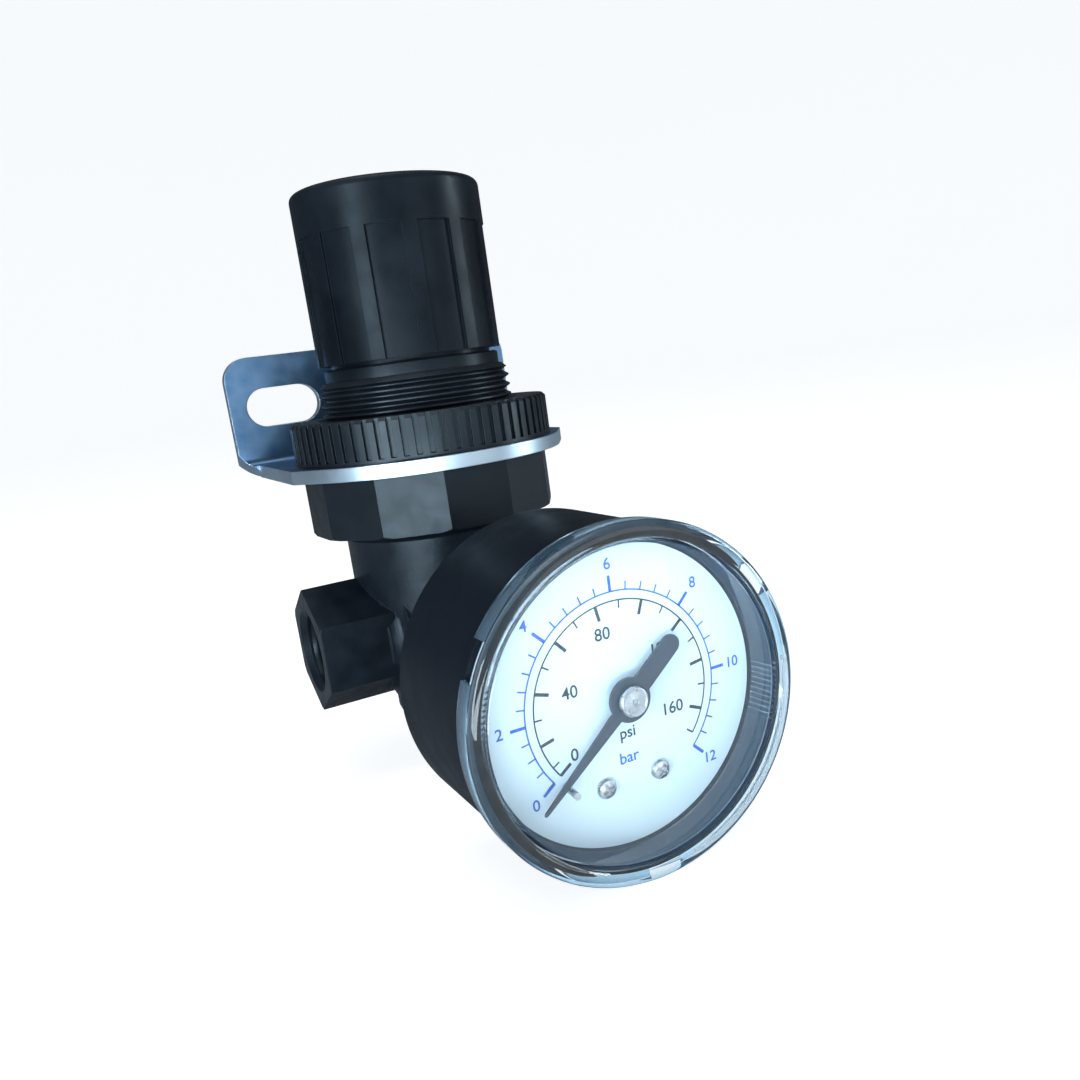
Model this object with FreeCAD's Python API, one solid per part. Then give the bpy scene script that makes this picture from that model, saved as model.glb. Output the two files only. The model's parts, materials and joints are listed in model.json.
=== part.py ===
import FreeCAD, Part

import math
import os

from FreeCAD import Placement, Rotation, Vector

# A relieving air pressure regulator with a panel bracket and a dial gauge.
# It is drawn about the knob's axis: Z runs up that axis, the ports lie along X
# at height zero, and the gauge faces -Y.  Lengths are millimetres.
# Everything is moved at the end so that the origin is the middle of the
# bracket's two slots, on the face that goes against a wall.

# ---------------------------------------------------------------- driving sizes
# Ports and body
PORT_SPAN = 47.0            # face to face
PORT_HEX = 17.0             # across flats
PORT_THREAD_R = 5.72        # tapped wall of a 1/4 pipe thread
PORT_THREAD_LENGTH = 11.5
GAUGE_PORT_R = 4.60
GAUGE_PORT_DEPTH = 9.0
BODY_NECK_R = 14.6
BODY_FOOT_R = 11.0
BODY_FOOT_TIP_R = 9.6
BODY_BOTTOM_Z = -17.6
BODY_SHOULDER_Z = 16.3
BODY_RIM_Z = 22.0
BODY_RIM_R = 15.5
FRONT_BOSS_Y = 23.0
REAR_BOSS_Y = 17.5
GAUGE_BOSS_R = 8.0

# Valve
INLET_CHAMBER_R = 6.2
SEAT_Z = 1.5
SEAT_RING_R = 5.0
SEAT_BORE_R = 2.6
VALVE_STEM_R = 1.3
VALVE_TAIL_R = 2.5

# Diaphragm and its plates
DIAPHRAGM_T = 0.8
DIAPHRAGM_R = 15.3
CHAMBER_R = 12.3
PLATE_R = 9.4
PLATE_T = 1.5

# Bonnet
COLLAR_R = 19.42            # over the twelve corners
COLLAR_SIDES = 12
COLLAR_TURN = -13.0         # degrees from one corner to the front
COLLAR_Z0 = 17.1
COLLAR_Z1 = 26.2            # the panel seat
THREAD_R = 14.9             # M30 x 1.5
THREAD_PITCH = 1.5
THREAD_DEPTH = 0.92
THREAD_TOP_Z = 40.1
BAND_R = 13.6
BAND_TOP_Z = 42.0
BONNET_NECK_R = 12.4
BONNET_TOP_Z = 53.4
BONNET_BORE_R = 10.6
BONNET_ROOF_T = 3.0

# Panel nut and bracket
NUT_R = 20.2
NUT_TEETH = 68
NUT_TOOTH_DEPTH = 0.55
NUT_T = 6.4
SHEET_T = 2.0
BRACKET_HALF_WIDTH = 25.2
BRACKET_LOBE_R = 21.5
BRACKET_CHEEK_X = 22.4      # straight sides of the lobe, as far forward as the corner
BRACKET_CHEEK_Y = -4.0
BRACKET_TOP_Z = 46.1
BRACKET_CORNER_R = 4.0
BRACKET_BEND_R = 1.2        # inside the bend
FLANGE_INNER_Y = 21.5
SLOT_SPACING = 32.6
SLOT_LENGTH = 12.2
SLOT_WIDTH = 6.4
SLOT_Z = 37.6

# Knob and adjusting screw
KNOB_R = 14.3
KNOB_Z0 = 42.6
KNOB_Z1 = 67.9
KNOB_WALL_IN_R = 12.8
KNOB_ROOF_T = 3.2
KNOB_CORNER_R = 1.1
KNOB_PANELS = 12
KNOB_PANEL_TOP_Z = 61.2
KNOB_PANEL_DEPTH = 0.45
KNOB_PANEL_ANGLE = 21.0
KNOB_TURN = -7.6            # degrees from a rib's middle to the front
LOCK_TOOTH_HEIGHT = 0.8
LOCK_TOOTH_GAP = 0.15       # between the teeth while the knob can turn
LOCK_TOOTH_ANGLE = 6.2
LOCK_TEETH = 24
SCREW_R = 3.95              # M8, left hand
SCREW_HEX = 7.0
SPRING_SEAT_Z = 43.6
SPRING_WIRE = 2.0
SPRING_MEAN_R = 8.2

# Gauge, in its own frame: its axis is the frame's Z and depth is counted
# from the knob's axis
CASE_R = 20.75
CASE_WALL = 1.1
CASE_BACK = 35.1
CASE_FRONT = 59.4
WINDOW_R = 21.4
WINDOW_BACK = 57.4
WINDOW_FRONT = 61.4
WINDOW_SKIRT_R = 18.95      # inside of the inner skirt, which nearly reaches the dial
WINDOW_SKIRT_BACK = 56.1
NOTCH_AT = 151.9            # degrees, first of three
NOTCH_ANGLE = 12.7
NOTCH_DEPTH = 2.4
DIAL_R = 18.8
DIAL_FACE = 55.6
DIAL_T = 0.5
POINTER_DEPTH = 57.0
POINTER_T = 0.4
POINTER_BOSS_R = 2.75
POINTER_CAP_R = 1.85
POINTER_ANGLE = 219.5       # at rest, against the stop pin
STOP_PIN_R_AT = 12.5
STOP_PIN_ANGLE = 223.4
STOP_PIN_RISE = 3.3         # above the dial
STOP_PIN_R = 0.45
DIAL_SCREW_X = 3.85
DIAL_SCREW_Y = -10.6
DIAL_SCREW_HEAD_R = 1.3

# Gauge movement, in the gauge's frame too
GEAR_MODULE = 0.25
PINION_TEETH = 8
SECTOR_RATIO = 10           # sector's pitch radius over the pinion's
SECTOR_AT = -62.0           # direction of the sector's pivot from the pointer
SECTOR_FIRST = -8           # tooth numbers; number 0 faces the pinion at rest
SECTOR_LAST = 2
GEAR_BACK = 50.6
GEAR_FRONT = 51.6
BACK_PLATE = (47.6, 48.4)
FRONT_PLATE = (54.2, 55.1)
ARBOR_R = 0.60
TAIL_LENGTH = 4.5           # sector pivot to the link's pin
TAIL_FROM_MIDDLE = 105.0    # degrees
LINK_BACK = 49.4
LINK_T = 0.6
TUBE_MEAN_R = 14.6
TUBE_ROOT_ANGLE = 256.0
TUBE_TIP_ANGLE = 8.0
HAIRSPRING_BACK = 52.0
PILLARS = ((-5.2, -12.8), (-3.6, 2.4))

# Clearance of parts that slide or turn in one another, on the radius
RUN = 0.06

PORT_X = PORT_SPAN / 2
FLANGE_OUTER_Y = FLANGE_INNER_Y + SHEET_T
PLATE_TOP_Z = BODY_RIM_Z + DIAPHRAGM_T + PLATE_T
NUT_Z0 = COLLAR_Z1 + SHEET_T
ROOF_Z = BONNET_TOP_Z - BONNET_ROOF_T
PINION_R = GEAR_MODULE * PINION_TEETH / 2
SECTOR_R = PINION_R * SECTOR_RATIO
TO_MOUNT = Vector(0, -FLANGE_OUTER_Y, -SLOT_Z)
X, Y, Z = Vector(1, 0, 0), Vector(0, 1, 0), Vector(0, 0, 1)
ORIGIN = Vector(0, 0, 0)


# ---------------------------------------------------------------- building blocks
def rod(radius, z0, z1, x=0, y=0):
    """A cylinder standing between two heights."""
    return Part.makeCylinder(radius, z1 - z0, Vector(x, y, z0), Z)


def rod_x(radius, x0, x1, z=0):
    return Part.makeCylinder(radius, x1 - x0, Vector(x0, 0, z), X)


def rod_y(radius, y0, y1, x=0, z=0):
    return Part.makeCylinder(radius, y1 - y0, Vector(x, y0, z), Y)


def rod_between(radius, start, end):
    run = end - start
    return Part.makeCylinder(radius, run.Length, start, run)


def ring(outer, inner, z0, z1):
    return rod(outer, z0, z1).cut(rod(inner, z0 - 1, z1 + 1))


def block(x0, x1, y0, y1, z0, z1):
    return Part.makeBox(x1 - x0, y1 - y0, z1 - z0, Vector(x0, y0, z0))


def polar(radius, degrees, z=0):
    angle = math.radians(degrees)
    return Vector(radius * math.cos(angle), radius * math.sin(angle), z)


def face_of(points):
    return Part.Face(Part.makePolygon(list(points) + [points[0]]))


def turned(profile):
    """A solid of revolution about Z from (radius, height) points."""
    return face_of([Vector(r, 0, z) for r, z in profile]).revolve(ORIGIN, Z, 360)


def prism(sides, circumradius, z0, z1, first_corner=0.0):
    corners = [polar(circumradius, first_corner + 360 / sides * i, z0) for i in range(sides)]
    return face_of(corners).extrude(Vector(0, 0, z1 - z0))


def hexagon(across_flats, z0, z1, first_corner=0.0):
    return prism(6, across_flats / math.sqrt(3), z0, z1, first_corner)


def around(shape, count, first=0.0, span=360.0):
    """Copies of a shape spaced evenly about Z."""
    copies = []
    for i in range(count):
        copy = shape.copy()
        copy.rotate(ORIGIN, Z, first + span / count * i)
        copies.append(copy)
    return copies


def merged(shapes):
    return shapes[0].multiFuse(shapes[1:]).removeSplitter()


def sector_block(inner, outer, angle, z0, z1, middle=0.0):
    """Part of a ring, as wide as an angle, centred on a direction."""
    start = middle - angle / 2
    band = Part.makeCylinder(outer, z1 - z0, Vector(0, 0, z0), Z, angle)
    band.rotate(ORIGIN, Z, start)
    return band.cut(rod(inner, z0 - 1, z1 + 1))


def coil(mean_r, wire, z0, z1, turns):
    """A helical spring whose wire just reaches both heights."""
    height = z1 - z0 - wire
    path = Part.makeHelix(height / turns, height, mean_r)
    path.translate(Vector(0, 0, z0 + wire / 2))
    start = Vector(mean_r, 0, z0 + wire / 2)
    section = Part.Wire(Part.makeCircle(wire / 2, start, Y))
    return Part.Wire(path.Edges).makePipeShell([section], True, True)


def thread_rings(radius, depth, pitch, z0, z1):
    """V-shaped grooves that leave a screw thread's ridges on a rod."""
    grooves = []
    for i in range(int((z1 - z0) / pitch)):
        z = z0 + pitch * (i + 0.5)
        half = depth * math.tan(math.radians(30)) + pitch / 16
        grooves.append(turned([
            (radius + 0.2, z - half - 0.12),
            (radius - depth, z - pitch / 16),
            (radius - depth, z + pitch / 16),
            (radius + 0.2, z + half + 0.12),
        ]))
    return grooves


def to_gauge(shape):
    """From the gauge's own frame to the regulator's: its Z becomes -Y."""
    shape.rotate(ORIGIN, X, 90)
    return shape


# ---------------------------------------------------------------- body
def port_boss(side):
    """A hexagonal boss with its flats to the front and the back."""
    boss = hexagon(PORT_HEX, 6, PORT_X, 0)
    rounding = turned([
        (0, 0),
        (PORT_HEX, 0),
        (PORT_HEX, PORT_X - 2.4),
        (PORT_HEX / math.sqrt(3) - 0.35, PORT_X),
        (0, PORT_X),
    ])
    boss = boss.common(rounding)
    flare_r = 2.6
    base_x = BODY_FOOT_R - 0.2
    hex_r = PORT_HEX / 2 + 0.5
    steps = 8
    profile = [(0, base_x - 4), (hex_r + flare_r, base_x - 4)]
    for i in range(steps + 1):
        angle = math.radians(90 / steps * i)
        profile.append((hex_r + flare_r * (1 - math.sin(angle)), base_x + flare_r * (1 - math.cos(angle))))
    profile.append((0, base_x + flare_r))
    boss = boss.fuse(turned(profile))
    boss.rotate(ORIGIN, Y, 90 * side)
    return boss


def make_body():
    outside = turned([
        (0, BODY_BOTTOM_Z),
        (BODY_FOOT_TIP_R - 0.6, BODY_BOTTOM_Z),
        (BODY_FOOT_TIP_R, BODY_BOTTOM_Z + 0.6),
        (BODY_FOOT_R, BODY_BOTTOM_Z + 4.6),
        (BODY_FOOT_R, -8.6),
        (BODY_NECK_R, -4.2),
        (BODY_NECK_R, BODY_SHOULDER_Z - 0.5),
        (BODY_NECK_R - 0.5, BODY_SHOULDER_Z),
        (BODY_NECK_R - 1.0, BODY_SHOULDER_Z),
        (BODY_NECK_R - 1.0, BODY_SHOULDER_Z + 1.2),
        (BODY_RIM_R, BODY_SHOULDER_Z + 1.2),
        (BODY_RIM_R, BODY_RIM_Z),
        (0, BODY_RIM_Z),
    ])
    front_boss = rod_y(GAUGE_BOSS_R, -FRONT_BOSS_Y, 0)
    rear_boss = rod_y(GAUGE_BOSS_R, 0, REAR_BOSS_Y)
    body = merged([outside, port_boss(-1), port_boss(1), front_boss, rear_boss])

    hollow = [
        rod(CHAMBER_R, 14.0, BODY_RIM_Z + 1),
        rod(8.2, SEAT_Z + 3.0, 14.5),
        rod(SEAT_RING_R, SEAT_Z, SEAT_Z + 3.5),
        rod(INLET_CHAMBER_R, BODY_BOTTOM_Z - 1, SEAT_Z),
        rod(6.7, BODY_BOTTOM_Z - 1, -10.8),
        rod(7.7, BODY_BOTTOM_Z - 1, -12.8),
        rod_x(PORT_THREAD_R, -PORT_X - 1, -PORT_X + PORT_THREAD_LENGTH),
        rod_x(PORT_THREAD_R, PORT_X - PORT_THREAD_LENGTH, PORT_X + 1),
        rod_x(3.2, -PORT_X + PORT_THREAD_LENGTH - 1, -5.0),
        rod_between(2.3, Vector(13.0, 0, 0), Vector(5.0, 0, 11.0)),
        rod_y(GAUGE_PORT_R, -FRONT_BOSS_Y - 1, -FRONT_BOSS_Y + GAUGE_PORT_DEPTH),
        rod_between(1.3, Vector(0, -14.5, 0), Vector(0, -6.0, 9.5)),
        rod_y(GAUGE_PORT_R, REAR_BOSS_Y - 6.5, REAR_BOSS_Y + 1),
        rod_between(1.3, Vector(0, 12.0, 1.0), Vector(0, 6.0, 9.5)),
    ]
    for side in (-1, 1):
        lead = turned([(0, 0), (PORT_THREAD_R + 0.9, 0), (0, -PORT_THREAD_R - 0.9)])
        lead.translate(Vector(0, 0, PORT_X))
        lead.rotate(ORIGIN, Y, 90 * side)
        hollow.append(lead)
    return body.cut(hollow[0].multiFuse(hollow[1:]))


def make_rear_port_plug():
    """A socket-head plug in the gauge port that isn't used."""
    plug = rod_y(GAUGE_PORT_R - RUN, REAR_BOSS_Y - 5.5, REAR_BOSS_Y + 0.4)
    socket = hexagon(4.0, REAR_BOSS_Y - 3.0, REAR_BOSS_Y + 1)
    socket.rotate(ORIGIN, X, -90)
    return plug.cut(socket)


def make_valve_seat():
    return turned([
        (SEAT_BORE_R, SEAT_Z + 0.01),
        (SEAT_BORE_R + 0.35, SEAT_Z + 0.01),
        (SEAT_BORE_R + 0.7, SEAT_Z + 0.45),
        (SEAT_RING_R - 0.01, SEAT_Z + 0.45),
        (SEAT_RING_R - 0.01, SEAT_Z + 3.0),
        (SEAT_BORE_R + 0.5, SEAT_Z + 3.0),
        (SEAT_BORE_R, SEAT_Z + 2.5),
    ])


def make_valve_poppet():
    """Disc, tail that slides in the bottom plug, and the stem up to the relief seat."""
    return turned([
        (0, -14.0),
        (VALVE_TAIL_R - 0.4, -14.0),
        (VALVE_TAIL_R, -13.6),
        (VALVE_TAIL_R, -2.2),
        (4.4, -2.2),
        (4.4, 0.2),
        (VALVE_STEM_R, 0.2),
        (VALVE_STEM_R, 18.4),
        (0.3, 19.35),
        (0, 19.35),
    ])


def make_valve_seal():
    return ring(4.2, VALVE_STEM_R, 0.2, SEAT_Z - 0.05)


def make_valve_spring():
    return coil(3.3, 0.6, -9.0, -2.25, 4)


def make_bottom_plug():
    """Closes the inlet chamber, guides the valve's tail and carries its spring."""
    plug = turned([
        (0, BODY_BOTTOM_Z - 1.9),
        (7.9, BODY_BOTTOM_Z - 1.9),
        (8.6, BODY_BOTTOM_Z - 1.2),
        (8.6, BODY_BOTTOM_Z),
        (7.65, BODY_BOTTOM_Z),
        (7.65, -12.9),
        (5.6, -12.9),
        (5.6, -9.0),
        (0, -9.0),
    ])
    guide = rod(VALVE_TAIL_R + RUN, -15.6, -8)
    slot = block(-5.5, 5.5, -0.7, 0.7, BODY_BOTTOM_Z - 3, BODY_BOTTOM_Z - 0.7)
    return plug.cut(guide).cut(slot)


def make_plug_seal():
    return Part.makeTorus(6.14, 0.52, Vector(0, 0, -12.3))


# ---------------------------------------------------------------- diaphragm stack
def make_diaphragm():
    """A rubber disc with one rolled fold between its clamped rim and its plates."""
    base = BODY_RIM_Z
    fold_in, fold_out = PLATE_R + 0.15, CHAMBER_R - 0.15
    middle = (fold_in + fold_out) / 2
    radius = (fold_out - fold_in) / 2
    flat = ring(DIAPHRAGM_R, 2.5, base, base + DIAPHRAGM_T)
    fold = Part.makeTorus(middle, radius, Vector(0, 0, base + DIAPHRAGM_T))
    upper = block(-20, 20, -20, 20, base + DIAPHRAGM_T, base + 6)
    fold = fold.common(upper)
    core = Part.makeTorus(middle, radius - DIAPHRAGM_T, Vector(0, 0, base + DIAPHRAGM_T))
    channel = ring(middle + radius - DIAPHRAGM_T, middle - radius + DIAPHRAGM_T, base - 1, base + DIAPHRAGM_T)
    return flat.fuse(fold).cut(core).cut(channel).removeSplitter()


def make_diaphragm_plate():
    """The upper plate, with the pilot that centres the main spring."""
    z0 = BODY_RIM_Z + DIAPHRAGM_T
    return turned([
        (2.5, z0),
        (PLATE_R, z0),
        (PLATE_R, z0 + PLATE_T),
        (6.8, z0 + PLATE_T),
        (6.4, z0 + PLATE_T + 1.8),
        (4.6, z0 + PLATE_T + 1.8),
        (4.2, z0 + PLATE_T),
        (2.5, z0 + PLATE_T),
    ])


def make_relief_seat():
    """Brass stem through the diaphragm; air is let out through its small bore."""
    base = BODY_RIM_Z
    stem_top = base + DIAPHRAGM_T + PLATE_T + 1.2
    return turned([
        (0.8, base - 2.5),
        (3.4, base - 2.5),
        (5.6, base - 1.2),
        (5.6, base),
        (2.49, base),
        (2.49, base + DIAPHRAGM_T + PLATE_T),
        (3.4, base + DIAPHRAGM_T + PLATE_T),
        (3.4, stem_top),
        (0.8, stem_top),
    ])


def make_main_spring():
    return coil(SPRING_MEAN_R, SPRING_WIRE, PLATE_TOP_Z, SPRING_SEAT_Z, 4)


def make_spring_seat():
    """The nut that the screw drives up and down; two ears keep it from turning."""
    disc = turned([
        (SCREW_R + RUN, SPRING_SEAT_Z),
        (6.9, SPRING_SEAT_Z - 1.6),
        (6.9, SPRING_SEAT_Z),
        (9.9, SPRING_SEAT_Z),
        (9.9, SPRING_SEAT_Z + 3.4),
        (SCREW_R + RUN, SPRING_SEAT_Z + 3.4),
    ])
    ear = block(9.0, 11.4, -1.6, 1.6, SPRING_SEAT_Z, SPRING_SEAT_Z + 3.4)
    return merged([disc] + around(ear, 2))


# ---------------------------------------------------------------- bonnet and knob
def make_bonnet():
    collar = prism(COLLAR_SIDES, COLLAR_R, COLLAR_Z0, COLLAR_Z1, -90 + COLLAR_TURN)
    trim = turned([
        (0, COLLAR_Z0),
        (COLLAR_R - 0.35, COLLAR_Z0),
        (COLLAR_R + 0.2, COLLAR_Z0 + 0.6),
        (COLLAR_R + 0.2, COLLAR_Z1),
        (0, COLLAR_Z1),
    ])
    barrel = turned([
        (0, COLLAR_Z1),
        (THREAD_R - THREAD_DEPTH, COLLAR_Z1),
        (THREAD_R - THREAD_DEPTH, COLLAR_Z1 + 0.6),
        (THREAD_R, COLLAR_Z1 + 1.4),
        (THREAD_R, THREAD_TOP_Z - 0.9),
        (THREAD_R - THREAD_DEPTH, THREAD_TOP_Z),
        (BAND_R, THREAD_TOP_Z),
        (BAND_R, BAND_TOP_Z - 0.25),
        (BAND_R - 0.25, BAND_TOP_Z),
        (BONNET_NECK_R, BAND_TOP_Z),
        (BONNET_NECK_R, BONNET_TOP_Z - 0.6),
        (BONNET_NECK_R - 0.6, BONNET_TOP_Z),
        (0, BONNET_TOP_Z),
    ])
    bonnet = merged([collar.common(trim), barrel])
    grooves = thread_rings(THREAD_R, THREAD_DEPTH, THREAD_PITCH, COLLAR_Z1 + 1.4, THREAD_TOP_Z - 0.4)
    bonnet = bonnet.cut(grooves[0].multiFuse(grooves[1:]))

    hollow = [
        rod(BODY_RIM_R + 0.1, COLLAR_Z0 - 1, BODY_RIM_Z + DIAPHRAGM_T),
        rod(CHAMBER_R, BODY_RIM_Z, BODY_RIM_Z + DIAPHRAGM_T + 3.0),
        turned([(0, 24), (CHAMBER_R, 24), (CHAMBER_R, 25.8), (BONNET_BORE_R, 27.6), (BONNET_BORE_R, ROOF_Z), (0, ROOF_Z)]),
        rod(SCREW_R + 0.15, ROOF_Z - 1, BONNET_TOP_Z + 1),
        rod_y(0.7, 9, 21, 0, 23.8),
    ]
    keyway = block(8.0, 11.6, -1.75, 1.75, 30.0, ROOF_Z)
    hollow += around(keyway, 2)
    bonnet = bonnet.cut(hollow[0].multiFuse(hollow[1:]))
    tooth = sector_block(9.4, 11.4, LOCK_TOOTH_ANGLE, BONNET_TOP_Z - 0.1, BONNET_TOP_Z + LOCK_TOOTH_HEIGHT)
    return merged([bonnet] + around(tooth, LOCK_TEETH))


def make_adjusting_screw():
    shoulder_z = ROOF_Z - 0.9
    shank = turned([
        (0, 34.0),
        (SCREW_R - 0.8, 34.0),
        (SCREW_R, 34.8),
        (SCREW_R, shoulder_z - 1.4),
        (6.6, shoulder_z - 1.4),
        (6.6, shoulder_z),
        (SCREW_R, shoulder_z),
        (SCREW_R, BONNET_TOP_Z + 0.15),
        (3.2, BONNET_TOP_Z + 0.15),
        (3.2, BONNET_TOP_Z + 0.9),
        (SCREW_R, BONNET_TOP_Z + 0.9),
        (SCREW_R, BONNET_TOP_Z + 1.6),
        (0, BONNET_TOP_Z + 1.6),
    ])
    head = hexagon(SCREW_HEX, BONNET_TOP_Z + 1.6, 62.4, 0)
    grooves = thread_rings(SCREW_R, 0.6, 1.25, 35.2, shoulder_z - 1.9)
    return merged([shank, head]).cut(grooves[0].multiFuse(grooves[1:]))


def make_thrust_washer():
    return ring(7.6, SCREW_R + 0.1, ROOF_Z - 0.88, ROOF_Z - 0.02)


def make_screw_clip():
    clip = ring(5.6, 3.22, BONNET_TOP_Z + 0.2, BONNET_TOP_Z + 0.8)
    mouth = block(0, 8, -2.0, 2.0, BONNET_TOP_Z, BONNET_TOP_Z + 1)
    return clip.cut(mouth)


def make_knob():
    steps = 6
    shell = [(0, KNOB_Z0), (KNOB_R, KNOB_Z0), (KNOB_R, KNOB_Z1 - KNOB_CORNER_R)]
    for i in range(1, steps + 1):
        angle = math.radians(90 / steps * i)
        shell.append((
            KNOB_R - KNOB_CORNER_R * (1 - math.cos(angle)),
            KNOB_Z1 - KNOB_CORNER_R * (1 - math.sin(angle)),
        ))
    shell.append((0, KNOB_Z1))
    knob = turned(shell)
    panel = sector_block(KNOB_R - KNOB_PANEL_DEPTH, KNOB_R + 1, KNOB_PANEL_ANGLE, KNOB_Z0 - 1, KNOB_PANEL_TOP_Z, 15)
    panels = around(panel, KNOB_PANELS, -90 + KNOB_TURN)
    knob = knob.cut(panels[0].multiFuse(panels[1:]))

    roof_z = KNOB_Z1 - KNOB_ROOF_T
    teeth_z = BONNET_TOP_Z + LOCK_TOOTH_HEIGHT + LOCK_TOOTH_GAP
    web = [
        rod(6.2, 56.2, roof_z + 0.5),
        ring(11.7, 9.2, teeth_z + 0.9, roof_z + 0.5),
    ]
    hollow = rod(KNOB_WALL_IN_R, KNOB_Z0 - 1, roof_z)
    knob = knob.cut(hollow)
    socket = hexagon(SCREW_HEX + 0.2, 50, 63.4, 0)
    tooth = sector_block(9.3, 11.6, LOCK_TOOTH_ANGLE, teeth_z, teeth_z + 1.4, 180 / LOCK_TEETH)
    return merged([knob] + web + around(tooth, LOCK_TEETH)).cut(socket)


# ---------------------------------------------------------------- nut and bracket
def make_panel_nut():
    top = NUT_Z0 + NUT_T
    nut = turned([
        (THREAD_R + 0.05, NUT_Z0),
        (NUT_R, NUT_Z0),
        (NUT_R, top - 0.5),
        (NUT_R - 0.5, top),
        (THREAD_R + 0.9, top),
        (THREAD_R + 0.05, top - 0.85),
    ])
    width = 2 * math.pi * NUT_R / NUT_TEETH * 0.42
    groove = block(NUT_R - NUT_TOOTH_DEPTH, NUT_R + 1, -width / 2, width / 2, NUT_Z0 + 0.6, top + 1)
    grooves = around(groove, NUT_TEETH)
    return nut.cut(grooves[0].multiFuse(grooves[1:]))


def bend_corner(side, bend_y, bend_z):
    """What is sheared off where the wide flange narrows round the bend to the lobe."""
    diagonal = math.sqrt(0.5)
    middle = BRACKET_BEND_R + SHEET_T / 2
    along = Vector(0, -diagonal, -diagonal)
    through = Vector(0, diagonal, -diagonal)
    start, end, beyond = -diagonal * middle, diagonal * middle, 3 * middle
    outline = [
        (BRACKET_HALF_WIDTH + 0.01, start),
        (BRACKET_CHEEK_X, end),
        (BRACKET_CHEEK_X, beyond),
        (BRACKET_HALF_WIDTH + 2, beyond),
        (BRACKET_HALF_WIDTH + 2, start),
    ]
    centre = Vector(0, bend_y, bend_z) - through * 6
    corners = [centre + Vector(side * x, 0, 0) + along * t for x, t in outline]
    return face_of(corners).extrude(through * 12)


def make_mounting_bracket():
    """An L of bent sheet: a lobe under the nut, and a flange with two slots."""
    outer_bend = BRACKET_BEND_R + SHEET_T
    z0, z1 = COLLAR_Z1, COLLAR_Z1 + SHEET_T
    y0, y1 = FLANGE_INNER_Y, FLANGE_OUTER_Y
    diagonal = math.sqrt(0.5)
    bend_y, bend_z = y0 - BRACKET_BEND_R, z1 + BRACKET_BEND_R

    def arc(radius):
        return Part.Arc(
            Vector(0, bend_y, bend_z - radius),
            Vector(0, bend_y + radius * diagonal, bend_z - radius * diagonal),
            Vector(0, bend_y + radius, bend_z),
        ).toShape()

    far = -BRACKET_LOBE_R - 1
    edges = [
        Part.makeLine(Vector(0, far, z0), Vector(0, bend_y, z0)),
        arc(outer_bend),
        Part.makeLine(Vector(0, y1, bend_z), Vector(0, y1, BRACKET_TOP_Z)),
        Part.makeLine(Vector(0, y1, BRACKET_TOP_Z), Vector(0, y0, BRACKET_TOP_Z)),
        Part.makeLine(Vector(0, y0, BRACKET_TOP_Z), Vector(0, y0, bend_z)),
        arc(BRACKET_BEND_R),
        Part.makeLine(Vector(0, bend_y, z1), Vector(0, far, z1)),
        Part.makeLine(Vector(0, far, z1), Vector(0, far, z0)),
    ]
    wide = BRACKET_HALF_WIDTH
    profile = Part.Face(Part.Wire(edges))
    profile.translate(Vector(-wide, 0, 0))
    sheet = profile.extrude(Vector(2 * wide, 0, 0))

    cheek_r = math.hypot(BRACKET_CHEEK_X, BRACKET_CHEEK_Y)
    touch = math.acos(BRACKET_LOBE_R / cheek_r) - math.atan2(BRACKET_CHEEK_Y, BRACKET_CHEEK_X)
    touch_x, touch_y = BRACKET_LOBE_R * math.cos(touch), -BRACKET_LOBE_R * math.sin(touch)
    lobe = [(touch_x, touch_y), (BRACKET_CHEEK_X, BRACKET_CHEEK_Y), (BRACKET_CHEEK_X, y1 + 1)]
    lobe += [(-x, y) for x, y in reversed(lobe)]
    plan = merged([
        rod(BRACKET_LOBE_R, z0 - 1, BRACKET_TOP_Z + 1),
        face_of([Vector(x, y, z0 - 1) for x, y in lobe]).extrude(Vector(0, 0, BRACKET_TOP_Z - z0 + 2)),
        block(-wide - 1, wide + 1, bend_y, y1 + 1, z0 - 1, BRACKET_TOP_Z + 1),
    ])
    sheet = sheet.common(plan)

    radius = BRACKET_CORNER_R
    cuts = [rod(THREAD_R + 0.3, z0 - 1, z1 + 1)]
    for side in (-1, 1):
        cuts.append(bend_corner(side, bend_y, bend_z))
        corner_x = side * (wide - radius)
        corner = block(min(corner_x, side * (wide + 1)), max(corner_x, side * (wide + 1)),
                       y0 - 1, y1 + 1, BRACKET_TOP_Z - radius, BRACKET_TOP_Z + 1)
        cuts.append(corner.cut(rod_y(radius, y0 - 2, y1 + 2, corner_x, BRACKET_TOP_Z - radius)))
        middle = side * SLOT_SPACING / 2
        reach = (SLOT_LENGTH - SLOT_WIDTH) / 2
        slot = block(middle - reach, middle + reach, y0 - 1, y1 + 1, SLOT_Z - SLOT_WIDTH / 2, SLOT_Z + SLOT_WIDTH / 2)
        for end in (-reach, reach):
            slot = slot.fuse(rod_y(SLOT_WIDTH / 2, y0 - 1, y1 + 1, middle + end, SLOT_Z))
        cuts.append(slot)
    return sheet.cut(cuts[0].multiFuse(cuts[1:])).removeSplitter()


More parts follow.
